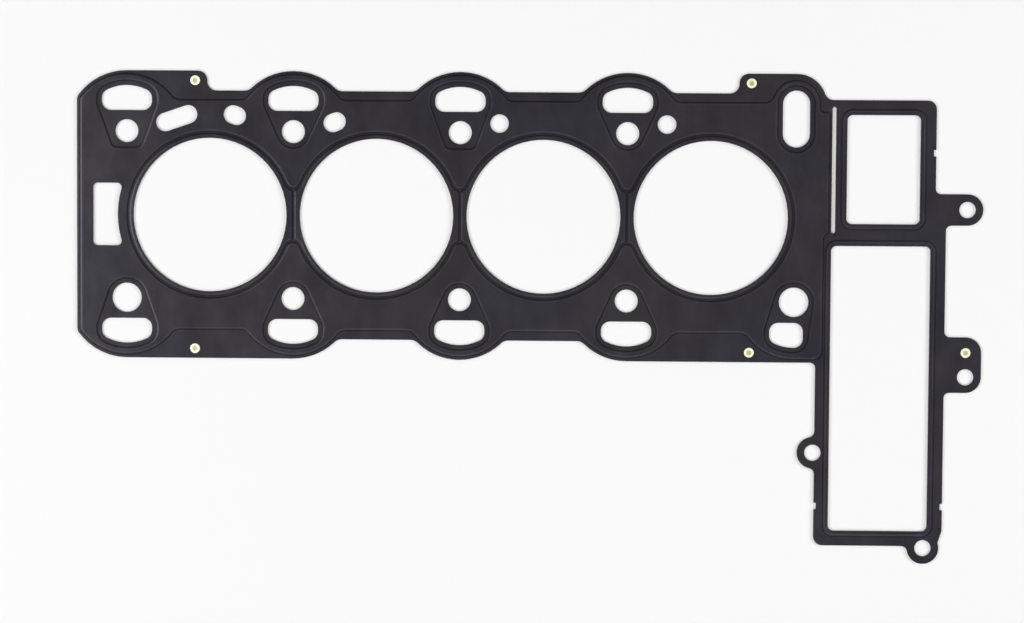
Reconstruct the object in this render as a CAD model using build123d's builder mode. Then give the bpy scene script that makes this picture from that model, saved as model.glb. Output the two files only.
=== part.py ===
"""Cylinder head gasket for a four-cylinder engine with a timing-chain case.

Five kinds of piece lie in one stack: two embossed outer sheets, a plain spacer between them, a
thin stopper ring round each bore, and the eyelet rivets that hold the stack together.

Frame: +X runs along the row of bores towards the timing-chain end, +Y across the row, and +Z up
through the stack. The origin is on the axis of bore 1, on the face that lies on the engine block.
"""
from build123d import *

import os
from math import acos, cos, hypot, radians, sin, sqrt, tan

# ---------------------------------------------------------------- sizes, in millimetres
# Cylinder bores
BORE_COUNT = 4
BORE_RADIUS = 42.8
BORE_WEB = 7.4                  # metal between two bores

# Head bolts stand between the bores, in two rows
BOLT_HOLE_RADIUS = 6.4
DOWEL_HOLE_RADIUS = 8.2         # the two end holes of one row also take a dowel sleeve

# Layers
SHEET = 0.25                    # each embossed outer sheet
STEP = 0.20                     # height of the embossed step
STEP_RUN = 1.2                  # width of its sloping wall
SPACER = 0.60
STOPPER = 0.10

# Outer outline, cylinder part
LEFT_REACH = 27.95              # from the first bolts to the left edge
LEFT_CORNER = 5.0
LOBE_RADIUS = 33.6              # rounded lobe about each bolt
WAIST_DEPTH = 11.0              # from the lobes' tops to the straight edge between them
WAIST_FILLET = 6.0
LEFT_TAB_REACH = 44.9           # from the first bolts to the end of the left rivet tab
RIGHT_TAB_REACH = 31.3          # from the last bolts back to the start of the right rivet tab
RIVET_TAB_CORNER = 5.35

# Timing-case part: x is measured from the last bolts, y from the row of bores
CASE_LEFT = 12.35
CASE_UPPER_RIGHT = 77.9
CASE_RIGHT = 83.8
CASE_DROP = 14.3                # from the lobes' tops to the case's upper edge
CASE_BOTTOM = -182.2
CASE_CORNER = 5.0
INNER_CORNER = 3.0
NOTCH_DEPTH = 1.3
NOTCH_WIDTH = 3.6
NOTCH_UPPER_Y = 36.7            # on the upper right edge
NOTCH_LOWER_Y = -160.2          # on both lower edges

# Openings of the timing case
UPPER_WINDOW_LEFT = 28.65
UPPER_WINDOW_RIGHT = 69.2
UPPER_WINDOW_FRAME = 8.2        # from the case's upper edge
UPPER_WINDOW_BOTTOM = -2.8
LOWER_WINDOW_LEFT = 20.4
LOWER_WINDOW_RIGHT = 75.4
LOWER_WINDOW_TOP = -15.0
LOWER_WINDOW_BOTTOM = -173.9
WINDOW_CORNER = 3.0
SLIT_X = 21.4
SLIT_FRAME = 3.8                # from the case's upper edge
SLIT_WIDTH = 2.1
SLIT_GAP = 7.0                  # metal between it and the lower window's level

# Screw holes of the timing case, each in a tab or an ear
SCREW_HOLE_RADIUS = 4.55
TAB_X = 95.6
UPPER_TAB_Y = 5.4
LOWER_TAB_Y = -87.55
TAB_RIM = 4.15                  # metal round the hole in a tab
EAR_RIM = 4.25                  # metal round the hole in an ear
LEFT_EAR_X = 11.4
LEFT_EAR_Y = -130.4
BOTTOM_EAR_X = 73.3
BOTTOM_EAR_DROP = 1.1           # from the case's lower edge
EAR_FILLET = 3.5

# Oil return holes, kidney-shaped, outside each bolt
OIL_STRIP = 8.2                 # metal between the hole and the lobe's edge
OIL_HEIGHT = 13.9
OIL_HALF = 14.0
OIL_CORNER = 5.0
OIL_END_LEFT = 13.4             # the one at the timing end is shorter
OIL_END_RIGHT = 5.3

# Coolant slot beside the last bore, in place of the fifth bolt of its row
SLOT_X = 0.4                    # from the last bolts
SLOT_WIDTH = 15.0
SLOT_LENGTH = 31.5
SLOT_STRIP = 9.2                # metal beyond its end
SLOT_CREST = 6.0                # of which the raised land reaches this far
SLOT_LOBE_FILLET = 5.2

# Coolant holes beside each bolt: x and y from that bolt, length between end centres, tilt
COOLANT_RADIUS = 5.15
COOLANT_HOLES = (
    ((27.85, 7.10, 13.5, 19.0),),
    ((-32.70, 8.95, 2.3, -20.0), (23.00, 5.35, 2.3, 22.0)),
    ((21.80, 5.15, 0.0, 0.0),),
    ((21.80, 5.15, 0.0, 0.0),),
)

# Coolant window at the far end: it follows bore 1 on one side
END_WINDOW_STRIP = 9.1          # from the left edge
END_WINDOW_HALF = 17.45
END_WINDOW_GAP = 8.8            # from the bore's edge
END_WINDOW_CORNER = 2.5

# Embossing: the sheet is raised inside the perimeter line, and low outside it, round the holes
# and along a groove round each bore
RIM_INSET = 1.3                 # low rim inside the lobes and the left edge
WAIST_RIM = 4.7                 # low rim inside the straight edge between two lobes
RAISED_FILLET = 5.5
HOLE_RIM = 2.3                  # low land round each bolt, oil and coolant slot
SQUARE_RIM_CORNER = 3.5         # where the low land round a bolt ends square
BORE_LAND = 2.9                 # raised land round a bore, to the foot of its groove
GROOVE = 0.3                    # flat floor of the groove
WEB_GROOVE = 0.2                # flat floor where two grooves meet between bores
TIP_RADIUS = 4.2                # end of the raised land between two bores
PAD_CORNER = 1.5
WINDOW_LAND = 3.4               # raised land round each timing-case window
CASE_GROOVE = 0.5               # groove between that land and the cylinder part
SLIT_RIM = 1.15                 # low rim beside the slit
SHOULDER_CORNER = 1.7
SHOULDER_DROP = 4.0             # from the slot's end centre to the shoulder beside the slit

# Rivets: eyelets through the low parts of the stack
RIVET_FROM_TAB_END = 6.75
RIVET_FROM_EDGE = 5.35
TAB_RIVET_RISE = 13.55          # the one in the lower tab, above its screw hole
RIVET_HEAD_RADIUS = 2.75
RIVET_HEAD = 0.15
RIVET_SHANK_RADIUS = 1.9
RIVET_DISH_RADIUS = 1.2
RIVET_DISH = 0.10

# ---------------------------------------------------------------- worked-out places
BORE_PITCH = 2 * BORE_RADIUS + BORE_WEB
BOLT_ROW = BORE_PITCH / 2
END_BOLT = BORE_COUNT * BORE_PITCH - BORE_PITCH / 2
BOLTS_X = [(i - 0.5) * BORE_PITCH for i in range(BORE_COUNT)]
FIRST_BOLT = (BOLTS_X[0], BOLT_ROW)

LEFT_EDGE = BOLTS_X[0] - LEFT_REACH
LEFT_TAB_X = BOLTS_X[0] + LEFT_TAB_REACH
RIGHT_TAB_X = END_BOLT - RIGHT_TAB_REACH
LOBE_TOP = BOLT_ROW + LOBE_RADIUS
WAIST = LOBE_TOP - WAIST_DEPTH
RAISED_WAIST = WAIST - WAIST_RIM
TAB_CORNER = min(RIVET_TAB_CORNER, 0.49 * WAIST_DEPTH)
OIL_RADIUS = LOBE_RADIUS - OIL_STRIP
OIL_FLAT = BOLT_ROW + OIL_RADIUS - OIL_HEIGHT

SLOT_LOBE_RADIUS = SLOT_WIDTH / 2 + SLOT_STRIP
SLOT_END = (END_BOLT + SLOT_X, LOBE_TOP - SLOT_LOBE_RADIUS)
SLOT_CENTRE = (SLOT_END[0], SLOT_END[1] - (SLOT_LENGTH - SLOT_WIDTH) / 2)

CASE_LEFT_X, CASE_RIGHT_X = END_BOLT + CASE_LEFT, END_BOLT + CASE_RIGHT
CASE_UPPER_RIGHT_X = END_BOLT + CASE_UPPER_RIGHT
CASE_TOP = LOBE_TOP - CASE_DROP
UPPER_WINDOW = (END_BOLT + UPPER_WINDOW_LEFT, END_BOLT + UPPER_WINDOW_RIGHT,
                UPPER_WINDOW_BOTTOM, CASE_TOP - UPPER_WINDOW_FRAME)
LOWER_WINDOW = (END_BOLT + LOWER_WINDOW_LEFT, END_BOLT + LOWER_WINDOW_RIGHT,
                LOWER_WINDOW_BOTTOM, LOWER_WINDOW_TOP)
SLIT_TOP, SLIT_LOW = CASE_TOP - SLIT_FRAME, LOWER_WINDOW_TOP + SLIT_GAP
SLIT_CENTRE = (END_BOLT + SLIT_X, (SLIT_TOP + SLIT_LOW) / 2)
TAB_CENTRE_X = END_BOLT + TAB_X
TAB_HALF = SCREW_HOLE_RADIUS + TAB_RIM
TAB_END = TAB_CENTRE_X + TAB_HALF
EAR_RADIUS = SCREW_HOLE_RADIUS + EAR_RIM
LEFT_EAR = (END_BOLT + LEFT_EAR_X, LEFT_EAR_Y)
BOTTOM_EAR = (END_BOLT + BOTTOM_EAR_X, CASE_BOTTOM - BOTTOM_EAR_DROP)

RIVET_ROW = LOBE_TOP - RIVET_FROM_EDGE
RIVET_PLACES = [(x, side * RIVET_ROW) for side in (1, -1)
                for x in (LEFT_TAB_X - RIVET_FROM_TAB_END, RIGHT_TAB_X + RIVET_FROM_TAB_END)]
RIVET_PLACES.append((TAB_CENTRE_X, LOWER_TAB_Y + TAB_RIVET_RISE))

LOW_SHEET_TOP = STEP + SHEET                    # top of the lower sheet where it is low
SPACER_BOTTOM = LOW_SHEET_TOP
SPACER_TOP = SPACER_BOTTOM + SPACER
STACK_TOP = SPACER_TOP + SHEET + STEP

GROOVE_FOOT_IN = BORE_RADIUS + BORE_LAND
GROOVE_FOOT_OUT = GROOVE_FOOT_IN + GROOVE
TIP_Y = sqrt((GROOVE_FOOT_OUT + TIP_RADIUS) ** 2 - (BORE_PITCH / 2) ** 2)


# ---------------------------------------------------------------- paths of lines and arcs
def toward(a, b, length):
    """The point that lies the given length from a, on the way to b."""
    span = hypot(b[0] - a[0], b[1] - a[1])
    return (a[0] + (b[0] - a[0]) * length / span, a[1] + (b[1] - a[1]) * length / span)


def corner(x, y, radius):
    """A corner of a path, rounded by the radius."""
    return ("corner", (x, y), radius)


def arc(centre, start, end):
    """The shorter arc about a centre from start to end, as a step of a path."""
    radius = hypot(start[0] - centre[0], start[1] - centre[1])
    middle = ((start[0] + end[0]) / 2, (start[1] + end[1]) / 2)
    return ("arc", start, toward(centre, middle, radius), end)


def trace(steps):
    """Draw a closed path through corners and arcs, inside a BuildLine block."""
    pieces = []
    for i, step in enumerate(steps):
        if step[0] == "arc":
            pieces.append(step[1:])
            continue
        before, after = steps[i - 1], steps[(i + 1) % len(steps)]
        here, radius = step[1], step[2]
        a = toward(here, before[-1] if before[0] == "arc" else before[1], 1)
        b = toward(here, after[1], 1)
        u, v = (a[0] - here[0], a[1] - here[1]), (b[0] - here[0], b[1] - here[1])
        half = acos(max(-1, min(1, u[0] * v[0] + u[1] * v[1]))) / 2
        reach = radius / tan(half)
        middle = ((u[0] + v[0]) / 2, (u[1] + v[1]) / 2)
        depth = radius / sin(half) - radius
        bend = toward(here, (here[0] + middle[0], here[1] + middle[1]), depth)
        pieces.append((toward(here, a, reach), bend, toward(here, b, reach)))
    for i, (start, bend, end) in enumerate(pieces):
        ThreePointArc(start, bend, end)
        following = pieces[(i + 1) % len(pieces)][0]
        if hypot(following[0] - end[0], following[1] - end[1]) > 1e-6:
            Line(end, following)


def lobe_side(centre, radius, edge_y, fillet, side):
    """Where a lobe leaves the straight edge y = edge_y, on its side -1 (left) or +1 (right).

    Gives the fillet's centre, its end on the edge and its end on the lobe.
    """
    out = 1 if edge_y > 0 else -1
    rise = edge_y + out * fillet - centre[1]
    reach = radius + fillet
    middle = (centre[0] + side * sqrt(reach ** 2 - rise ** 2), edge_y + out * fillet)
    return middle, (middle[0], edge_y), toward(centre, middle, radius)


def left_side(centre, radius, edge_x, fillet):
    """Where a lobe meets the vertical edge x = edge_x, inside the sheet's left corner."""
    out = 1 if centre[1] > 0 else -1
    run = edge_x + fillet - centre[0]
    middle = (edge_x + fillet, centre[1] + out * sqrt((radius - fillet) ** 2 - run ** 2))
    return middle, (edge_x, middle[1]), toward(centre, middle, radius)


def lobe(x, y, radius, edge_y, fillet):
    """A whole lobe, from left to right."""
    centre = (x, y)
    left, left_edge, left_lobe = lobe_side(centre, radius, edge_y, fillet, -1)
    right, right_edge, right_lobe = lobe_side(centre, radius, edge_y, fillet, 1)
    return [arc(left, left_edge, left_lobe), arc(centre, left_lobe, right_lobe),
            arc(right, right_lobe, right_edge)]


def backwards(steps):
    """The same steps, drawn the other way."""
    return [s if s[0] == "corner" else ("arc", s[3], s[2], s[1]) for s in reversed(steps)]


def mirrored(steps):
    """The same steps, mirrored in the row of bores."""
    flip = lambda p: (p[0], -p[1])
    return [("corner", flip(s[1]), s[2]) if s[0] == "corner" else
            ("arc", flip(s[1]), flip(s[2]), flip(s[3])) for s in steps]


def turned(centre, radius, degrees):
    """The point of a circle at an angle from +X."""
    a = radians(degrees)
    return (centre[0] + radius * cos(a), centre[1] + radius * sin(a))


# ---------------------------------------------------------------- outer outlines
def left_end(edge_x, radius, fillet):
    """Up the left edge and over the first lobe to its top."""
    middle, on_edge, on_lobe = left_side(FIRST_BOLT, radius, edge_x, fillet)
    return [arc(middle, on_edge, on_lobe),
            arc(FIRST_BOLT, on_lobe, (FIRST_BOLT[0], FIRST_BOLT[1] + radius))]


def waist_side():
    """Along one long side with its rivet tabs, from the first lobe's top to the right tab."""
    steps = [corner(LEFT_TAB_X, LOBE_TOP, TAB_CORNER), corner(LEFT_TAB_X, WAIST, TAB_CORNER)]
    for x in BOLTS_X[1:]:
        steps += lobe(x, BOLT_ROW, LOBE_RADIUS, WAIST, WAIST_FILLET)
    return steps + [corner(RIGHT_TAB_X, WAIST, TAB_CORNER),
                    corner(RIGHT_TAB_X, LOBE_TOP, TAB_CORNER)]


def straight_side():
    """The embossed sheets' lower side: straight at both ends, waisted between the middle lobes."""
    first, last = (BOLTS_X[1], BOLT_ROW), (BOLTS_X[-1], BOLT_ROW)
    middle, on_edge, on_lobe = lobe_side(first, LOBE_RADIUS, WAIST, WAIST_FILLET, 1)
    steps = [arc(first, (first[0], LOBE_TOP), on_lobe), arc(middle, on_lobe, on_edge)]
    for x in BOLTS_X[2:-1]:
        steps += lobe(x, BOLT_ROW, LOBE_RADIUS, WAIST, WAIST_FILLET)
    middle, on_edge, on_lobe = lobe_side(last, LOBE_RADIUS, WAIST, WAIST_FILLET, -1)
    return steps + [arc(middle, on_edge, on_lobe), arc(last, on_lobe, (last[0], LOBE_TOP))]


def notch(edge_x, y, inward, down):
    """A small assembly notch in a vertical edge."""
    deep = edge_x + inward * NOTCH_DEPTH
    ends = (y + NOTCH_WIDTH / 2, y - NOTCH_WIDTH / 2)
    first, second = ends if down else ends[::-1]
    small = NOTCH_DEPTH / 4
    return [corner(edge_x, first, small), corner(deep, first, small),
            corner(deep, second, small), corner(edge_x, second, small)]


def case_side():
    """Round the timing-case part, from the slot lobe's top to the inner corner at its left."""
    middle, on_edge, on_lobe = lobe_side(SLOT_END, SLOT_LOBE_RADIUS, CASE_TOP,
                                         SLOT_LOBE_FILLET, 1)
    steps = [arc(SLOT_END, (SLOT_END[0], LOBE_TOP), on_lobe), arc(middle, on_lobe, on_edge),
             corner(CASE_UPPER_RIGHT_X, CASE_TOP, CASE_CORNER)]
    steps += notch(CASE_UPPER_RIGHT_X, NOTCH_UPPER_Y, -1, True)
    edge_x = CASE_UPPER_RIGHT_X
    for bottom, rise in ((UPPER_TAB_Y, 0), (LOWER_TAB_Y, TAB_RIVET_RISE)):
        steps += [corner(edge_x, bottom + rise + TAB_HALF, INNER_CORNER),
                  corner(TAB_END, bottom + rise + TAB_HALF, TAB_HALF),
                  corner(TAB_END, bottom - TAB_HALF, TAB_HALF),
                  corner(CASE_RIGHT_X, bottom - TAB_HALF, INNER_CORNER)]
        edge_x = CASE_RIGHT_X
    steps += notch(CASE_RIGHT_X, NOTCH_LOWER_Y, -1, True)

    steps += [corner(CASE_RIGHT_X, BOTTOM_EAR[1] + EAR_RADIUS + 1, CASE_CORNER)]
    start, low = turned(BOTTOM_EAR, EAR_RADIUS, 20), turned(BOTTOM_EAR, EAR_RADIUS, -90)
    middle, on_edge, on_ear = lobe_side(BOTTOM_EAR, EAR_RADIUS, CASE_BOTTOM, EAR_FILLET, -1)
    steps += [arc(BOTTOM_EAR, start, low), arc(BOTTOM_EAR, low, on_ear),
              arc(middle, on_ear, on_edge), corner(CASE_LEFT_X, CASE_BOTTOM, CASE_CORNER)]
    steps += notch(CASE_LEFT_X, NOTCH_LOWER_Y, 1, False)

    run = CASE_LEFT_X - EAR_FILLET - LEFT_EAR[0]
    rise = sqrt((EAR_RADIUS + EAR_FILLET) ** 2 - run ** 2)
    west = turned(LEFT_EAR, EAR_RADIUS, 180)
    for side in (-1, 1):
        middle = (CASE_LEFT_X - EAR_FILLET, LEFT_EAR[1] + side * rise)
        on_edge, on_ear = (CASE_LEFT_X, middle[1]), toward(LEFT_EAR, middle, EAR_RADIUS)
        half = [arc(middle, on_edge, on_ear), arc(LEFT_EAR, on_ear, west)]
        steps += half if side < 0 else backwards(half)
    return steps + [corner(CASE_LEFT_X, -LOBE_TOP, INNER_CORNER)]


def sheet_outline(low_side):
    """The closed outline of a layer, with the given steps along its lower side."""
    end = left_end(LEFT_EDGE, LOBE_RADIUS, LEFT_CORNER)
    return end + waist_side() + case_side() + backwards(mirrored(end + low_side))


# ---------------------------------------------------------------- outlines of the raised lands
def raised_outline():
    """The foot of the raised land that fills the cylinder part, inside the perimeter line."""
    radius = LOBE_RADIUS - RIM_INSET
    end = left_end(LEFT_EDGE + RIM_INSET, radius, LEFT_CORNER - RIM_INSET)
    middle, on_edge, on_lobe = lobe_side(FIRST_BOLT, radius, RAISED_WAIST, RAISED_FILLET, 1)
    side = end + [arc(FIRST_BOLT, end[-1][-1], on_lobe), arc(middle, on_lobe, on_edge)]
    for x in BOLTS_X[1:]:
        side += lobe(x, BOLT_ROW, radius, RAISED_WAIST, RAISED_FILLET)

    crest = SLOT_WIDTH / 2 + SLOT_CREST
    middle, on_edge, on_crest = lobe_side(SLOT_END, crest, RAISED_WAIST, RAISED_FILLET, -1)
    top, east = turned(SLOT_END, crest, 90), turned(SLOT_END, crest, 0)
    slit_x = SLIT_CENTRE[0] - SLIT_WIDTH / 2 - SLIT_RIM
    slit_low = SLIT_LOW
    shoulder = east[1] - SHOULDER_DROP
    groove_x = LOWER_WINDOW[0] - WINDOW_LAND - CASE_GROOVE
    small = SHOULDER_CORNER
    right = [arc(middle, on_edge, on_crest), arc(SLOT_END, on_crest, top),
             arc(SLOT_END, top, east), corner(east[0], shoulder, small),
             corner(slit_x, shoulder, small), corner(slit_x, slit_low, small),
             corner(groove_x, slit_low - (slit_x - groove_x), small)]

    end_bolt = (END_BOLT, -BOLT_ROW)
    low = turned(end_bolt, radius, -90)
    middle, on_edge, on_lobe = lobe_side(end_bolt, radius, -RAISED_WAIST, RAISED_FILLET, -1)
    right += [corner(groove_x, low[1], CASE_CORNER), arc(end_bolt, low, on_lobe),
              arc(middle, on_lobe, on_edge)]
    return side + right + backwards(mirrored(side))


def groove_outline():
    """The outer foot of the groove: one line round all the bores, drawn in between them."""
    steps = []
    for i in range(BORE_COUNT):
        bore = (i * BORE_PITCH, 0)
        top = turned(bore, GROOVE_FOOT_OUT, 90)
        left, right = (bore[0] - BORE_PITCH / 2, TIP_Y), (bore[0] + BORE_PITCH / 2, TIP_Y)
        if i:
            steps.append(arc(bore, toward(bore, left, GROOVE_FOOT_OUT), top))
        else:
            steps.append(arc(bore, turned(bore, GROOVE_FOOT_OUT, 180), top))
        if i < BORE_COUNT - 1:
            last = toward(bore, right, GROOVE_FOOT_OUT)
            following = toward((bore[0] + BORE_PITCH, 0), right, GROOVE_FOOT_OUT)
            low = turned(right, TIP_RADIUS, -90)
            steps += [arc(bore, top, last), arc(right, last, low), arc(right, low, following)]
        else:
            steps.append(arc(bore, top, turned(bore, GROOVE_FOOT_OUT, 0)))
    return steps + backwards(mirrored(steps))


def bore_land_outline(index):
    """The foot of the raised land round one bore, widened where it faces another bore."""
    bore = (index * BORE_PITCH, 0)
    top, tip_radius = turned(bore, GROOVE_FOOT_IN, 90), TIP_RADIUS + GROOVE
    quarters = {}
    for side in (-1, 1):
        if (index == 0 and side < 0) or (index == BORE_COUNT - 1 and side > 0):
            quarters[side] = [arc(bore, top, turned(bore, GROOVE_FOOT_IN, 90 - 90 * side))]
            continue
        tip = (bore[0] + side * BORE_PITCH / 2, TIP_Y)
        edge_x = tip[0] - side * WEB_GROOVE / 2
        pad_x = edge_x - side * PAD_CORNER
        pad_y = tip[1] - sqrt((tip_radius + PAD_CORNER) ** 2 - (tip[0] - pad_x) ** 2)
        on_land, on_tip = toward(bore, tip, GROOVE_FOOT_IN), toward(tip, (pad_x, pad_y), tip_radius)
        quarters[side] = [arc(bore, top, on_land), arc(tip, on_land, on_tip),
                          arc((pad_x, pad_y), on_tip, (edge_x, pad_y))]
    half = backwards(quarters[-1]) + quarters[1]
    return half + backwards(mirrored(half))


# ---------------------------------------------------------------- outlines of the holes
def oil_hole(x, side, left, right, rim):
    """A kidney-shaped oil hole outside the bolt at x, or the land round it, wider by the rim."""
    bolt, radius = (x, BOLT_ROW), OIL_RADIUS + rim
    flat, round_off = OIL_FLAT - rim, OIL_CORNER + rim
    ends = []
    for half, sign in ((left + rim, -1), (right + rim, 1)):
        middle_x = x + sign * (half - round_off)
        middle = (middle_x, bolt[1] + sqrt((radius - round_off) ** 2 - (middle_x - x) ** 2))
        ends.append(arc(middle, (x + sign * half, middle[1]), toward(bolt, middle, radius)))
    path = [ends[0], arc(bolt, ends[0][-1], ends[1][-1])] + backwards([ends[1]])
    path += [corner(x + right + rim, flat, round_off), corner(x - left - rim, flat, round_off)]
    return path if side > 0 else mirrored(path)


def end_window():
    """The coolant window beyond bore 1, with one side that follows the bore."""
    radius, r = BORE_RADIUS + END_WINDOW_GAP, END_WINDOW_CORNER
    y = END_WINDOW_HALF - r
    middle = (-sqrt((radius + r) ** 2 - y ** 2), y)
    half = [arc((0, 0), (-radius, 0), toward((0, 0), middle, radius)),
            arc(middle, toward((0, 0), middle, radius), (middle[0], END_WINDOW_HALF)),
            corner(LEFT_EDGE + END_WINDOW_STRIP, END_WINDOW_HALF, r)]
    return half + backwards(mirrored(half))


def square_end(x, y, half):
    """The square end of the low land round a bolt."""
    return [corner(x + i * half, y + j * half, SQUARE_RIM_CORNER)
            for i, j in ((1, 1), (1, -1), (-1, -1), (-1, 1))]


# Bolt and oil holes in pairs: x, side, bolt hole's radius, oil hole's reach to its left and right
BOLT_HOLES = [(x, side, DOWEL_HOLE_RADIUS if side < 0 and i == 0 else BOLT_HOLE_RADIUS,
               OIL_HALF, OIL_HALF) for i, x in enumerate(BOLTS_X) for side in (1, -1)]
BOLT_HOLES.append((END_BOLT, -1, DOWEL_HOLE_RADIUS, OIL_END_LEFT, OIL_END_RIGHT))
SQUARE_ENDS = [(BOLTS_X[0], 1), (BOLTS_X[2], 1)]
SCREW_HOLES = [(TAB_CENTRE_X, UPPER_TAB_Y), (TAB_CENTRE_X, LOWER_TAB_Y), LEFT_EAR, BOTTOM_EAR]


def window_centre(window):
    return ((window[0] + window[1]) / 2, (window[2] + window[3]) / 2)


with BuildSketch() as openings:
    with GridLocations(BORE_PITCH, 0, BORE_COUNT, 1, align=(Align.MIN, Align.CENTER)):
        Circle(BORE_RADIUS)
    for x, side, radius, left, right in BOLT_HOLES:
        with Locations((x, side * BOLT_ROW)):
            Circle(radius)
        with BuildLine():
            trace(oil_hole(x, side, left, right, 0))
        make_face()
    with Locations(SLOT_CENTRE):
        SlotOverall(SLOT_LENGTH, SLOT_WIDTH, rotation=90)
    with Locations(SLIT_CENTRE):
        SlotOverall(SLIT_TOP - SLIT_LOW, SLIT_WIDTH, rotation=90)
    for x, y, length, tilt in [(bolt_x + hole[0], *hole[1:])
                               for bolt_x, holes in zip(BOLTS_X, COOLANT_HOLES)
                               for hole in holes]:
        with Locations((x, BOLT_ROW + y)):
            if length:
                SlotCenterToCenter(length, 2 * COOLANT_RADIUS, rotation=tilt)
            else:
                Circle(COOLANT_RADIUS)
    for window in (UPPER_WINDOW, LOWER_WINDOW):
        with Locations(window_centre(window)):
            RectangleRounded(window[1] - window[0], window[3] - window[2], WINDOW_CORNER)
    with BuildLine():
        trace(end_window())
    make_face()
    with Locations(*SCREW_HOLES):
        Circle(SCREW_HOLE_RADIUS)
    with Locations(*RIVET_PLACES):
        Circle(RIVET_SHANK_RADIUS)

with BuildSketch() as outer_outline:
    with BuildLine():
        trace(sheet_outline(straight_side()))
    make_face()

with BuildSketch() as spacer_outline:
    with BuildLine():
        trace(sheet_outline(waist_side()))
    make_face()

with BuildSketch() as raised:
    with BuildLine():
        trace(raised_outline())
    make_face()
    with BuildLine():
        trace(groove_outline())
    make_face(mode=Mode.SUBTRACT)
    for x, side, radius, left, right in BOLT_HOLES:
        with BuildSketch(mode=Mode.SUBTRACT):
            with BuildLine() as rim:
                trace(oil_hole(x, side, left, right, HOLE_RIM))
                if (x, side) in SQUARE_ENDS:
                    trace(square_end(x, side * BOLT_ROW, radius + HOLE_RIM))
                else:
                    for start in (0, 180):
                        CenterArc((x, side * BOLT_ROW), radius + HOLE_RIM, start, 180)
            make_hull(rim.edges())
    with Locations(SLOT_CENTRE):
        SlotOverall(SLOT_LENGTH + 2 * HOLE_RIM, SLOT_WIDTH + 2 * HOLE_RIM, rotation=90,
                    mode=Mode.SUBTRACT)
    for index in range(BORE_COUNT):
        with BuildLine():
            trace(bore_land_outline(index))
        make_face()
    for window in (UPPER_WINDOW, LOWER_WINDOW):
        with Locations(window_centre(window)):
            RectangleRounded(window[1] - window[0] + 2 * WINDOW_LAND,
                             window[3] - window[2] + 2 * WINDOW_LAND,
                             WINDOW_CORNER + WINDOW_LAND)

# ---------------------------------------------------------------- raised lands as solids
# Each land is a plateau with sloping walls. It stands EMBED deep in the sheet that carries it.
EMBED = STEP / 2
lands = []
for outline in raised.sketch.faces():
    with BuildPart() as land:
        extrude(outline, amount=EMBED + STEP)
        top = land.faces().sort_by(Axis.Z)[-1]
        chamfer(top.edges(), length=STEP_RUN, length2=STEP, reference=top)
    lands.append(land.part)

# ---------------------------------------------------------------- upper embossed sheet
# The low parts lie on the spacer, and the raised lands stand clear of it by the step.
with BuildPart() as upper_bead_sheet:
    with BuildSketch(Plane.XY.offset(SPACER_TOP)):
        add(outer_outline.sketch)
    extrude(amount=SHEET)
    for land in lands:
        add(land.moved(Location((0, 0, SPACER_TOP + SHEET - EMBED))))
    for land in lands:
        add(land.moved(Location((0, 0, SPACER_TOP - EMBED))), mode=Mode.SUBTRACT)
    with BuildSketch(Plane.XY.offset(SPACER_TOP)):
        add(openings.sketch)
    extrude(amount=SHEET + STEP, mode=Mode.SUBTRACT)

# ---------------------------------------------------------------- lower embossed sheet
# The same pressing, turned over.
with BuildPart() as lower_bead_sheet:
    mirror(upper_bead_sheet.part, about=Plane.XY.offset(STACK_TOP / 2))

# ---------------------------------------------------------------- spacer between them
with BuildPart() as spacer:
    with BuildSketch(Plane.XY.offset(SPACER_BOTTOM)):
        add(spacer_outline.sketch)
        add(openings.sketch, mode=Mode.SUBTRACT)
    extrude(amount=SPACER)

# ---------------------------------------------------------------- stopper rings on the spacer
# Each keeps the groove round its bore from being pressed flat.
STOPPER_WIDTH = BORE_LAND - STEP_RUN + STEP_RUN * (STEP - STOPPER) / STEP - SHEET
stopper_rings = []
for index in range(BORE_COUNT):
    with BuildPart() as stopper_ring:
        with BuildSketch(Plane.XY.offset(SPACER_TOP)):
            with Locations((index * BORE_PITCH, 0)):
                Circle(BORE_RADIUS + STOPPER_WIDTH)
                Circle(BORE_RADIUS, mode=Mode.SUBTRACT)
        extrude(amount=STOPPER)
    stopper_rings.append(stopper_ring.part)

# ---------------------------------------------------------------- rivets
RIVET_BOTTOM = STEP - RIVET_HEAD
RIVET_TOP = SPACER_TOP + SHEET + RIVET_HEAD
rivets = []
for x, y in RIVET_PLACES:
    with BuildPart() as rivet:
        with BuildSketch(Plane.XY.offset(RIVET_BOTTOM)):
            with Locations((x, y)):
                Circle(RIVET_HEAD_RADIUS)
        extrude(amount=RIVET_HEAD)
        with BuildSketch(Plane.XY.offset(STEP)):
            with Locations((x, y)):
                Circle(RIVET_SHANK_RADIUS)
        extrude(amount=SPACER_TOP + SHEET - STEP)
        with BuildSketch(Plane.XY.offset(SPACER_TOP + SHEET)):
            with Locations((x, y)):
                Circle(RIVET_HEAD_RADIUS)
        extrude(amount=RIVET_HEAD)
        rims = rivet.edges().filter_by(GeomType.CIRCLE).group_by(Axis.Z)
        chamfer(rims[0] + rims[-1], length=RIVET_HEAD / 2)
        for level, dish in ((RIVET_BOTTOM, RIVET_DISH), (RIVET_TOP, -RIVET_DISH)):
            with BuildSketch(Plane.XY.offset(level)):
                with Locations((x, y)):
                    Circle(RIVET_DISH_RADIUS)
            extrude(amount=dish, mode=Mode.SUBTRACT)
    rivets.append(rivet.part)

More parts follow.
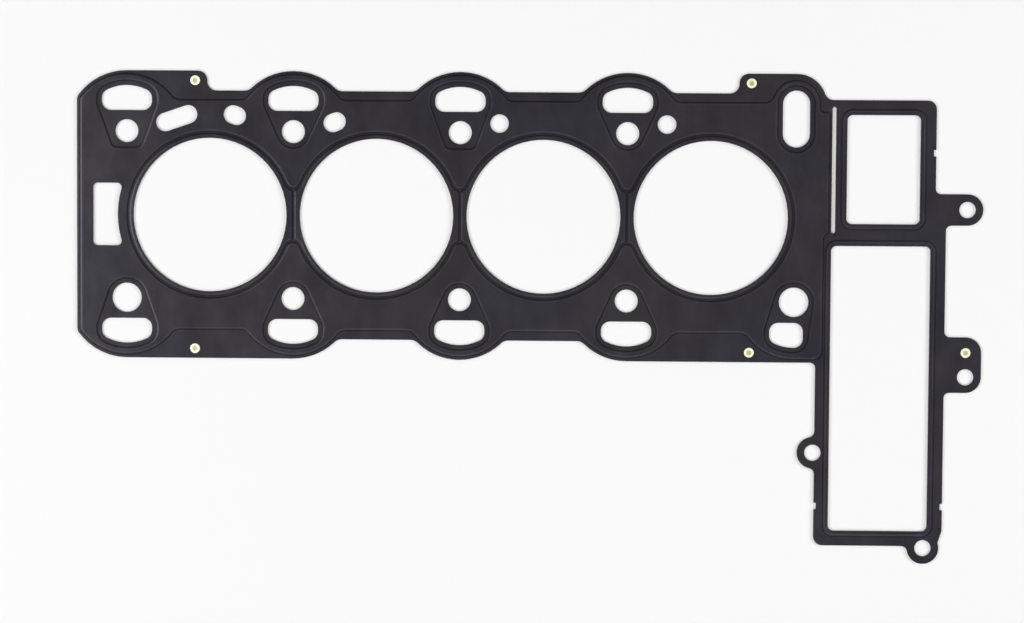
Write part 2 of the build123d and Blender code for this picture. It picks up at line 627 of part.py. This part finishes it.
# ---------------------------------------------------------------- files, one for each piece
os.makedirs("parts", exist_ok=True)
upper_bead_sheet.part.label = "upper_bead_sheet"
export_step(upper_bead_sheet.part, "parts/upper_bead_sheet.step")
lower_bead_sheet.part.label = "lower_bead_sheet"
export_step(lower_bead_sheet.part, "parts/lower_bead_sheet.step")
spacer.part.label = "spacer"
export_step(spacer.part, "parts/spacer.step")
for name, pieces in (("stopper_ring", stopper_rings), ("rivet", rivets)):
    for number, piece in enumerate(pieces, 1):
        piece.label = f"{name}_{number}"
        export_step(piece, f"parts/{name}_{number}.step")
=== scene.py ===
import math

import bmesh
import bpy
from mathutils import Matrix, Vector


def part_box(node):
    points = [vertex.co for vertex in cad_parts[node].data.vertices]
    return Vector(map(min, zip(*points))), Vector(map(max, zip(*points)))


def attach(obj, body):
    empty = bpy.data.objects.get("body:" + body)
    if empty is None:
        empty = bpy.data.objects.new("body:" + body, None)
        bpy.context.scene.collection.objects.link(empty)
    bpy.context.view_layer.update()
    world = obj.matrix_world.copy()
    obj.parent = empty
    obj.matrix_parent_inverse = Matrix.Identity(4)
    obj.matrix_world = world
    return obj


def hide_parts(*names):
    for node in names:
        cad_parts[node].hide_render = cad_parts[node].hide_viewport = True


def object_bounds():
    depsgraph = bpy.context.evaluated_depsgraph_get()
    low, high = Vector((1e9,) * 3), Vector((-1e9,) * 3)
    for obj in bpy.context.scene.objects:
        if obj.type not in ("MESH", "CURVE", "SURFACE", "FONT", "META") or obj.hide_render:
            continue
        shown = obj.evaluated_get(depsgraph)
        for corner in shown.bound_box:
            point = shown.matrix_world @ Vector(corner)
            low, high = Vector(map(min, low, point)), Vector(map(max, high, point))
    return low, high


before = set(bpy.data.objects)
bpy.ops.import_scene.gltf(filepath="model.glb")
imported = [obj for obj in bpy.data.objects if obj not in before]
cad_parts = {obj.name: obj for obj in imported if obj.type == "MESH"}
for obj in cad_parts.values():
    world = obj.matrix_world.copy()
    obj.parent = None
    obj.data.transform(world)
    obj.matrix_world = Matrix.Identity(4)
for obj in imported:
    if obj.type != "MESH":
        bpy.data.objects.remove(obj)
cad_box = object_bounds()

# ------------------------------------------------------------------ embossed outer sheets
# Two pressings of hard spring steel, 0.25 mm thick, coated on both sides with black nitrile
# rubber before they were stamped. The press rolls each bead over softly, and the blanking
# punch leaves the cut edges bare.
BEAD_STEP = 0.0002              # height of a bead
BEAD_RUN = 0.0012               # width of its slope in the solid
FOOT_SPREAD = 0.00005           # how much further the rolled foot reaches over the low land
CREST_SPREAD = 0.0005           # and the rolled crest over the raised land
FOOT_ROUND = 0.2                # share of the slope that is rolled round at its foot
CREST_ROUND = 0.4               # and at its crest
SLOPE_STRIPS = 8                # across each bead's slope
SLOPE_END = 0.001               # share of its height that still counts as its foot or its crest
LEVEL_WITHIN = 0.01             # and by which the ends of a level edge on it may differ
FOLD_ROUNDS = 6                 # times that the level edges are looked over for folds
FOLD_LENGTH = 0.25              # least share of its length that such an edge keeps along itself
FOLD_COSINE = 0.5               # and least cosine of its turn, which is 60 degrees
# How far a face's normal rises tells what the face is
CUT_EDGE_RISE = 0.3             # at most this on a cut edge
SLOPE_RISE = (0.9, 0.995)       # between these on a bead's slope
LAND_RISE = 0.9999              # at least this on a level land
MERGE = 1e-6                    # points closer than this are one
FLAT_ANGLE = math.radians(0.05)         # faces that turn by less are one
SMOOTH_ANGLE = math.radians(35)
COAT_GRAIN = 0.0009             # orange peel of the coating, drawn coarse enough to show
COAT_PEEL = 0.00002             # its depth
COAT_CLOUD = 0.085              # slow changes of tone where the coating was cured
COAT_TONES = ("#14121D", "#1B1718")
COAT_PATCH = (0.018, 0.030)     # uneven finish, across the coating rollers and along them
COAT_ROUGHNESS = (0.33, 0.40)
COAT_EVENNESS = (0.80, 1.20)    # the gloss in each patch, against the mean
LAND_GLOSS = 0.5
# Gloss of the coating up a bead's slope, by its height's share: painted shade low down, painted
# highlight on the crest
BEAD_PAINTED_SHEEN = ((0.001, LAND_GLOSS), (0.006, 0.18), (0.40, 0.22), (0.75, 0.6), (0.99, 0.7),
              (0.999, LAND_GLOSS))
CUT_TEAR = 1 / 1400             # size of the tears that the punch leaves, about 0.7 mm
CUT_TONES = ("#8E877C", "#B9B2A6")


def linear(code):
    """An sRGB hex colour as linear red, green, blue and alpha."""
    parts = [int(code[i:i + 2], 16) / 255 for i in (1, 3, 5)]
    return [p / 12.92 if p <= 0.04045 else ((p + 0.055) / 1.055) ** 2.4 for p in parts] + [1.0]


def add(tree, kind, sockets=(), **settings):
    """Add a node with its settings; sockets maps an input to a value or to what feeds it."""
    made = tree.nodes.new(kind)
    for key, value in settings.items():
        setattr(made, key, value)
    for key, value in dict(sockets).items():
        if isinstance(value, bpy.types.NodeSocket):
            tree.links.new(value, made.inputs[key])
        else:
            made.inputs[key].default_value = value
    return made


def finish(name, sockets):
    """A new material with its shader's own values set, its node tree and that shader."""
    made = bpy.data.materials.new(name)
    made.use_nodes = True
    tree = made.node_tree
    shader = tree.nodes["Principled BSDF"]
    for key, value in sockets.items():
        shader.inputs[key].default_value = value
    return made, tree, shader


def climb(tree, place, low, high):
    """The share of the way out from one depth to another below the stack's two outer faces."""
    level = add(tree, "ShaderNodeSeparateXYZ", {"Vector": place})
    out = add(tree, "ShaderNodeMath", {0: level.outputs["Z"], 1: (upper_high + lower_low) / 2},
              operation="SUBTRACT")
    out = add(tree, "ShaderNodeMath", {0: out.outputs[0]}, operation="ABSOLUTE")
    face = (upper_high - lower_low) / 2
    share = add(tree, "ShaderNodeMapRange", {"Value": out.outputs[0], "From Min": face - low,
                                             "From Max": face - high})
    return share.outputs["Result"]


def nitrile_coating():
    """Black nitrile rubber, rolled on and cured: satin, with a fine grain and cloudy tone.

    Its gloss is painted low at the foot of each bead, as painted shade, and raised along the
    crest, as a painted highlight.
    """
    made, tree, shader = finish("nitrile_coating", {"IOR": 1.5, "Metallic": 0.0,
                                                    "Specular Tint": linear("#F4F1FF")})
    place = add(tree, "ShaderNodeTexCoord").outputs["Object"]
    cloud = add(tree, "ShaderNodeTexNoise", {"Vector": place, "Scale": 1 / COAT_CLOUD,
                                             "Detail": 3.0, "Roughness": 0.5})
    tone = add(tree, "ShaderNodeValToRGB", {"Fac": cloud.outputs["Fac"]})
    for stop, at, colour in zip(tone.color_ramp.elements, (0.38, 0.64), COAT_TONES):
        stop.position, stop.color = at, linear(colour)
    tree.links.new(tone.outputs["Color"], shader.inputs["Base Color"])
    drawn = add(tree, "ShaderNodeMapping",
                  {"Vector": place, "Scale": (1 / COAT_PATCH[0], 1 / COAT_PATCH[1], 1)})
    patches = add(tree, "ShaderNodeTexNoise", {"Vector": drawn.outputs["Vector"], "Scale": 1.0,
                                               "Detail": 4.0, "Roughness": 0.6})
    spread = {"Value": patches.outputs["Fac"], "From Min": 0.3, "From Max": 0.7}
    rough = add(tree, "ShaderNodeMapRange", {**spread, "To Min": COAT_ROUGHNESS[0],
                                             "To Max": COAT_ROUGHNESS[1]})
    tree.links.new(rough.outputs["Result"], shader.inputs["Roughness"])
    # Specular level up each bead: painted shade at its foot and a painted highlight along its
    # crest
    bead_painted_sheen = add(tree, "ShaderNodeValToRGB", {"Fac": climb(tree, place, BEAD_STEP, 0)})
    for stop in bead_painted_sheen.color_ramp.elements:
        stop.color = (LAND_GLOSS, LAND_GLOSS, LAND_GLOSS, 1)
    for share, value in BEAD_PAINTED_SHEEN:
        bead_painted_sheen.color_ramp.elements.new(share).color = (value, value, value, 1)
    uneven = add(tree, "ShaderNodeMapRange", {**spread, "To Min": COAT_EVENNESS[0],
                                              "To Max": COAT_EVENNESS[1]})
    bead_painted_sheen = add(tree, "ShaderNodeMath", {0: bead_painted_sheen.outputs["Color"], 1: uneven.outputs["Result"]},
                operation="MULTIPLY")
    tree.links.new(bead_painted_sheen.outputs[0], shader.inputs["Specular IOR Level"])
    grain = add(tree, "ShaderNodeTexNoise", {"Vector": place, "Scale": 1 / COAT_GRAIN,
                                             "Detail": 2.0})
    bump = add(tree, "ShaderNodeBump", {"Height": grain.outputs["Fac"], "Strength": 0.12,
                                        "Distance": COAT_PEEL})
    tree.links.new(bump.outputs["Normal"], shader.inputs["Normal"])
    return made


def cut_spring_steel():
    """Blanked spring steel: a bare satin edge, torn a little by the punch."""
    made, tree, shader = finish("cut_spring_steel", {"Metallic": 1.0, "Roughness": 0.42})
    place = add(tree, "ShaderNodeTexCoord").outputs["Object"]
    torn = add(tree, "ShaderNodeTexNoise", {"Vector": place, "Scale": 1 / CUT_TEAR,
                                            "Detail": 3.0})
    tone = add(tree, "ShaderNodeValToRGB", {"Fac": torn.outputs["Fac"]})
    for stop, colour in zip(tone.color_ramp.elements, CUT_TONES):
        stop.color = linear(colour)
    tree.links.new(tone.outputs["Color"], shader.inputs["Base Color"])
    return made


def bead_rise(way):
    """A rolled slope's rise, as a share of its height, at a share of the way up from its foot."""
    steep = 1 / (1 - (FOOT_ROUND + CREST_ROUND) / 2)
    if way < FOOT_ROUND:
        return steep * way * way / (2 * FOOT_ROUND)
    if way < 1 - CREST_ROUND:
        return steep * (way - FOOT_ROUND / 2)
    return 1 - steep * (1 - way) ** 2 / (2 * CREST_ROUND)


def roll_beads(shape, feet, up):
    """Turn each straight slope into a wider one, rolled round at its foot and its crest.

    The feet are the levels at which slopes start, and up is 1 where they rise and -1 where they
    fall. A point on a cut edge moves only up or down, and one at a foot or a crest keeps its
    height.
    """
    points = {}
    for vert in shape.verts:
        slopes = [f.normal for f in vert.link_faces
                  if SLOPE_RISE[0] < abs(f.normal.z) < SLOPE_RISE[1]]
        if not slopes:
            continue
        foot = min(feet, key=lambda level: abs(vert.co.z - level - up * BEAD_STEP / 2))
        risen = min(1, max(0, up * (vert.co.z - foot) / BEAD_STEP))
        uphill = sum((Vector((n.x, n.y, 0)) * (-up / n.z) for n in slopes), Vector())
        reach = risen * (FOOT_SPREAD + CREST_SPREAD) - FOOT_SPREAD
        on_cut = any(abs(f.normal.z) < CUT_EDGE_RISE for f in vert.link_faces)
        points[vert] = [foot, risen, uphill.normalized() * reach, 0 if on_cut else 1]
    level_edges = [e for e in shape.edges if e.verts[0] in points and e.verts[1] in points
                   and abs(points[e.verts[0]][1] - points[e.verts[1]][1]) < LEVEL_WITHIN]
    # The ends of a level edge move less where it would fold over, turn or shrink too far
    for attempt in range(FOLD_ROUNDS):
        for edge in level_edges:
            a, b = (points[v] for v in edge.verts)
            span = edge.verts[1].co - edge.verts[0].co
            moved = span + b[2] * b[3] - a[2] * a[3]
            least = max(FOLD_LENGTH * span.length, FOLD_COSINE * moved.length)
            if moved.dot(span) < least * span.length:
                a[3], b[3] = a[3] / 2, b[3] / 2
    width = FOOT_SPREAD + BEAD_RUN + CREST_SPREAD
    for vert, (foot, risen, shift, share) in points.items():
        reach = share * (risen * (FOOT_SPREAD + CREST_SPREAD) - FOOT_SPREAD)
        vert.co += shift * share
        if SLOPE_END < risen < 1 - SLOPE_END:
            way = (FOOT_SPREAD + BEAD_RUN * risen + reach) / width
            vert.co.z = foot + up * BEAD_STEP * bead_rise(way)


def level_lands(shape):
    """The level faces, grouped by height and by the way they face."""
    lands = {}
    for face in shape.faces:
        if abs(face.normal.z) > LAND_RISE:
            height = round(face.verts[0].co.z, 6)
            lands.setdefault((height, face.normal.z > 0), []).append(face)
    return lands


def fill_lands(shape, lands):
    """Take the level faces away and fill anew between the borders they leave.

    Lists hand them over, because a set's order changes from run to run.
    """
    for (height, upward), faces in lands.items():
        land = set(faces)
        border = [e for f in faces for e in f.edges if len(land.intersection(e.link_faces)) == 1]
        bmesh.ops.delete(shape, geom=faces, context="FACES")
        filled = bmesh.ops.triangle_fill(shape, use_beauty=True, edges=border, normal=(0, 0, 1))
        for face in filled["geom"]:
            if isinstance(face, bmesh.types.BMFace):
                face.normal_update()
                if (face.normal.z > 0) != upward:
                    face.normal_flip()


def settle(piece):
    """Turn what a piece's modifiers make into its plain mesh."""
    evaluated = piece.evaluated_get(bpy.context.evaluated_depsgraph_get())
    piece.data = bpy.data.meshes.new_from_object(evaluated)
    piece.modifiers.clear()


def pressed_sheet(name, node, feet, up, finishes):
    """A sheet from its solid, with its beads rolled as a press leaves them."""
    shape = bmesh.new()
    shape.from_mesh(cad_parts[node].data)
    bmesh.ops.remove_doubles(shape, verts=shape.verts, dist=MERGE)
    bmesh.ops.dissolve_limit(shape, angle_limit=FLAT_ANGLE, verts=shape.verts, edges=shape.edges)
    for foot in feet:
        for strip in range(1, SLOPE_STRIPS):
            level = foot + up * BEAD_STEP * strip / SLOPE_STRIPS
            bmesh.ops.bisect_plane(shape, geom=shape.verts[:] + shape.edges[:] + shape.faces[:],
                                   plane_co=(0, 0, level), plane_no=(0, 0, 1), dist=MERGE / 10)
    shape.normal_update()
    lands = level_lands(shape)
    roll_beads(shape, feet, up)
    fill_lands(shape, lands)
    bmesh.ops.triangulate(shape, faces=[f for f in shape.faces if len(f.verts) > 3])
    shape.normal_update()
    for face in shape.faces:
        face.smooth = True
        face.material_index = 1 if abs(face.normal.z) < CUT_EDGE_RISE else 0
    mesh = bpy.data.meshes.new(name)
    shape.to_mesh(mesh)
    shape.free()
    for material in finishes:
        mesh.materials.append(material)
    mesh.set_sharp_from_angle(angle=SMOOTH_ANGLE)
    piece = bpy.data.objects.new(name, mesh)
    bpy.context.scene.collection.objects.link(piece)
    flats_first = piece.modifiers.new("flats_first", "WEIGHTED_NORMAL")
    flats_first.keep_sharp = True
    flats_first.weight = 100
    settle(piece)
    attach(piece, "root")
    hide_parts(node)


upper_low, upper_high = (corner.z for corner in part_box("upper_bead_sheet"))
lower_low, lower_high = (corner.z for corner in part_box("lower_bead_sheet"))
coated_steel = nitrile_coating(), cut_spring_steel()
pressed_sheet("upper_sheet", "upper_bead_sheet", (upper_low, upper_high - BEAD_STEP), 1,
              coated_steel)
pressed_sheet("lower_sheet", "lower_bead_sheet", (lower_high, lower_low + BEAD_STEP), -1,
              coated_steel)

# ------------------------------------------------------------------ spacer and stopper rings
# Plain cold-rolled steel between the pressings. A thin ring round each bore, of the same steel,
# keeps its bead from being pressed flat.
ROLLING_MARK = (1 / 30, 0.0006)         # length along the row of bores, and width
STEEL_TONES = ("#97948E", "#BEBBB5")
STEEL_ROUGHNESS = (0.28, 0.42)


def cold_rolled_steel():
    """Bright cold-rolled steel with fine marks along the rolling direction."""
    made, tree, shader = finish("cold_rolled_steel", {"Metallic": 1.0})
    place = add(tree, "ShaderNodeTexCoord").outputs["Object"]
    length, width = ROLLING_MARK
    drawn = add(tree, "ShaderNodeMapping",
                {"Vector": place, "Scale": (1 / length, 1 / width, 1 / width)})
    lines = add(tree, "ShaderNodeTexNoise", {"Vector": drawn.outputs["Vector"], "Scale": 1.0,
                                             "Detail": 4.0, "Roughness": 0.7})
    tone = add(tree, "ShaderNodeValToRGB", {"Fac": lines.outputs["Fac"]})
    for stop, colour in zip(tone.color_ramp.elements, STEEL_TONES):
        stop.color = linear(colour)
    tree.links.new(tone.outputs["Color"], shader.inputs["Base Color"])
    rough = add(tree, "ShaderNodeMapRange", {"Value": lines.outputs["Fac"],
                                             "To Min": STEEL_ROUGHNESS[0],
                                             "To Max": STEEL_ROUGHNESS[1]})
    tree.links.new(rough.outputs["Result"], shader.inputs["Roughness"])
    return made


plain_steel = cold_rolled_steel()
for name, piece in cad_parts.items():
    if name == "spacer" or name.startswith("stopper_ring"):
        piece.data.materials.clear()
        piece.data.materials.append(plain_steel)

# ------------------------------------------------------------------ eyelet rivets
# Five brass-plated steel eyelets through the low lands hold the stack together for fitting.
# Each is set flat from both sides, which leaves a rounded rim about a shallow dish.
RIVET_STEPS = 48                # round a rivet
RIVET_SMOOTH = math.radians(50)
# Radius and height above the sheet in millimetres, from the shank's wall to the dish
RIVET_HALF = ((1.9, 0.0), (2.75, 0.0), (2.75, 0.05), (2.70, 0.095), (2.55, 0.13), (2.30, 0.149),
              (2.0, 0.15), (1.75, 0.142), (1.50, 0.115), (1.30, 0.075), (1.10, 0.055),
              (0.80, 0.050), (0.45, 0.056), (0.20, 0.060))
DISH_TO_RIM = (0.00015, 0.00006)        # depths below the stack's face, between the two tones
BRASS_SHADE_AND_HIGHLIGHT = ("#C4BFA4", "#FFFEDE")    # painted shade in the dish and a painted highlight on the rim
BRASS_WEAR = 1 / 900                    # size of the worn patches, about 1.1 mm
BRASS_ROUGHNESS = (0.48, 0.64)


def plated_brass():
    """Pale brass plating on steel, satin, with painted shade in the dish and a painted highlight
    on the rim.
    """
    made, tree, shader = finish("plated_brass", {"Metallic": 1.0})
    place = add(tree, "ShaderNodeTexCoord").outputs["Object"]
    # Painted shade in the dish and a painted highlight on the rim, by depth below the stack's
    # face
    tone = add(tree, "ShaderNodeValToRGB", {"Fac": climb(tree, place, *DISH_TO_RIM)})
    for stop, colour in zip(tone.color_ramp.elements, BRASS_SHADE_AND_HIGHLIGHT):
        stop.color = linear(colour)
    tree.links.new(tone.outputs["Color"], shader.inputs["Base Color"])
    worn = add(tree, "ShaderNodeTexNoise", {"Vector": place, "Scale": 1 / BRASS_WEAR,
                                            "Detail": 3.0})
    rough = add(tree, "ShaderNodeMapRange", {"Value": worn.outputs["Fac"],
                                             "To Min": BRASS_ROUGHNESS[0],
                                             "To Max": BRASS_ROUGHNESS[1]})
    tree.links.new(rough.outputs["Result"], shader.inputs["Roughness"])
    return made


def turned_rivet(bottom, top):
    """One rivet, turned about the origin, with its heads on the given levels."""
    outline = [(r / 1000, top + h / 1000) for r, h in reversed(RIVET_HALF)]
    outline += [(r / 1000, bottom - h / 1000) for r, h in RIVET_HALF]
    turn = [i * math.tau / RIVET_STEPS for i in range(RIVET_STEPS)]
    shape = bmesh.new()
    rings = [[shape.verts.new((radius * math.cos(a), radius * math.sin(a), height))
              for a in turn] for radius, height in outline]
    for upper, lower in zip(rings, rings[1:]):
        for i in range(RIVET_STEPS):
            j = (i + 1) % RIVET_STEPS
            shape.faces.new((upper[i], lower[i], lower[j], upper[j]))
    shape.faces.new(rings[0])
    shape.faces.new(rings[-1][::-1])
    for face in shape.faces:
        face.smooth = True
    mesh = bpy.data.meshes.new("turned_rivet")
    shape.to_mesh(mesh)
    shape.free()
    mesh.set_sharp_from_angle(angle=RIVET_SMOOTH)
    return bpy.data.objects.new("turned_rivet", mesh)


def set_rivets_tree():
    """A node tree that sets one rivet at each point."""
    tree = bpy.data.node_groups.new("set_rivets", "GeometryNodeTree")
    tree.interface.new_socket("Places", in_out="INPUT", socket_type="NodeSocketGeometry")
    tree.interface.new_socket("Rivet", in_out="INPUT", socket_type="NodeSocketObject")
    tree.interface.new_socket("Plating", in_out="INPUT", socket_type="NodeSocketMaterial")
    tree.interface.new_socket("Rivets", in_out="OUTPUT", socket_type="NodeSocketGeometry")
    given = add(tree, "NodeGroupInput")
    points = add(tree, "GeometryNodeMeshToPoints", {"Mesh": given.outputs["Places"]})
    rivet = add(tree, "GeometryNodeObjectInfo", {"Object": given.outputs["Rivet"]})
    placed = add(tree, "GeometryNodeInstanceOnPoints",
                 {"Points": points.outputs["Points"], "Instance": rivet.outputs["Geometry"]})
    real = add(tree, "GeometryNodeRealizeInstances", {"Geometry": placed.outputs["Instances"]})
    plated = add(tree, "GeometryNodeSetMaterial", {"Geometry": real.outputs["Geometry"],
                                                   "Material": given.outputs["Plating"]})
    add(tree, "NodeGroupOutput", {"Rivets": plated.outputs["Geometry"]})
    return tree


rivet_nodes = [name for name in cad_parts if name.startswith("rivet")]
boxes = [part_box(name) for name in rivet_nodes]
head = max(h for r, h in RIVET_HALF) / 1000
one_rivet = turned_rivet(boxes[0][0].z + head, boxes[0][1].z - head)
places = bpy.data.meshes.new("rivets")
places.from_pydata([((a.x + b.x) / 2, (a.y + b.y) / 2, 0) for a, b in boxes], [], [])
rivets = bpy.data.objects.new("rivets", places)
bpy.context.scene.collection.objects.link(rivets)
setting = rivets.modifiers.new("set_rivets", "NODES")
setting.node_group = set_rivets_tree()
sockets = {s.name: s.identifier for s in setting.node_group.interface.items_tree
           if s.in_out == "INPUT"}
setting[sockets["Rivet"]] = one_rivet
setting[sockets["Plating"]] = plated_brass()
bpy.context.scene.collection.objects.link(one_rivet)
bpy.context.view_layer.update()
settle(rivets)
bpy.data.objects.remove(one_rivet)
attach(rivets, "root")
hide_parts(*rivet_nodes)

# ------------------------------------------------------------------ studio
# A white table under a soft key lamp on the left and a long lamp overhead, which lies diagonally
# across the gasket, with three more lamps in front, on the right and behind.
TABLE_HALF = 6.0
TABLE_DROP = 0.0001             # below the gasket's lower face
TABLE_GLOW = 0.15               # share of the table's white that no shadow can reach
CAMERA_PLACE = (0.20515, 0.02596, 1.51796)
CAMERA_TURN = (-2.9637, 1.3885, 0.3705)         # degrees about X, Y and Z
CAMERA_LENS, CAMERA_SENSOR = 95.8, 36.0
WORLD_LIGHT = 0.15
LAMPS = (                       # name, place, width, depth and watts
    ("key_lamp", (-0.98, -0.08, 1.42), 0.75, 0.75, 14.6),
    ("top_lamp", (0.32, -0.18, 2.6), 3.4, 0.9, 6.8),
    ("low_lamp", (0.25, -1.35, 1.9), 0.9, 0.9, 11.0),
    ("right_lamp", (1.95, 0.15, 1.35), 1.1, 1.1, 22.5),
    ("back_lamp", (0.25, 1.75, 1.35), 1.1, 1.1, 3.5),
)

white = bpy.data.materials.new("white_table")
white.use_nodes = True
tree = white.node_tree
tree.nodes.clear()
path = add(tree, "ShaderNodeLightPath")
seen = add(tree, "ShaderNodeMath", {0: path.outputs["Is Camera Ray"],
                                    1: path.outputs["Is Glossy Ray"]}, operation="MAXIMUM")
seen = add(tree, "ShaderNodeMath", {0: seen.outputs[0],
                                    1: path.outputs["Is Transmission Ray"]}, operation="MAXIMUM")
share = add(tree, "ShaderNodeMath", {0: seen.outputs[0], 1: TABLE_GLOW}, operation="MULTIPLY")
matt = add(tree, "ShaderNodeBsdfDiffuse", {"Color": linear("#F9F9F9")})
glow = add(tree, "ShaderNodeEmission", {"Color": linear("#FEFEFE"), "Strength": 1.0})
mixed = add(tree, "ShaderNodeMixShader", {0: share.outputs[0], 1: matt.outputs[0],
                                          2: glow.outputs[0]})
add(tree, "ShaderNodeOutputMaterial", {"Surface": mixed.outputs[0]})

table = bpy.data.meshes.new("table")
table.from_pydata([(x * TABLE_HALF, y * TABLE_HALF, -TABLE_DROP)
                   for x, y in ((-1, -1), (1, -1), (1, 1), (-1, 1))], [], [(0, 1, 2, 3)])
table.materials.append(white)
table = bpy.data.objects.new("table", table)
bpy.context.scene.collection.objects.link(table)

middle = (cad_box[0] + cad_box[1]) / 2
for name, place, width, depth, watts in LAMPS:
    lamp = bpy.data.lights.new(name, "AREA")
    lamp.shape, lamp.size, lamp.size_y, lamp.energy = "RECTANGLE", width, depth, watts
    lamp = bpy.data.objects.new(name, lamp)
    lamp.location = place
    lamp.rotation_euler = (middle - lamp.location).to_track_quat("-Z", "Y").to_euler()
    bpy.context.scene.collection.objects.link(lamp)

world = bpy.data.worlds.new("studio")
world.use_nodes = True
background = world.node_tree.nodes["Background"]
background.inputs["Color"].default_value = linear("#F8F8F8")
background.inputs["Strength"].default_value = WORLD_LIGHT
bpy.context.scene.world = world
bpy.context.scene.view_settings.view_transform = "Standard"

lens = bpy.data.cameras.new("camera")
lens.lens, lens.sensor_width = CAMERA_LENS, CAMERA_SENSOR
camera = bpy.data.objects.new("camera", lens)
camera.location = CAMERA_PLACE
camera.rotation_euler = [math.radians(a) for a in CAMERA_TURN]
bpy.context.scene.collection.objects.link(camera)
bpy.context.scene.camera = camera
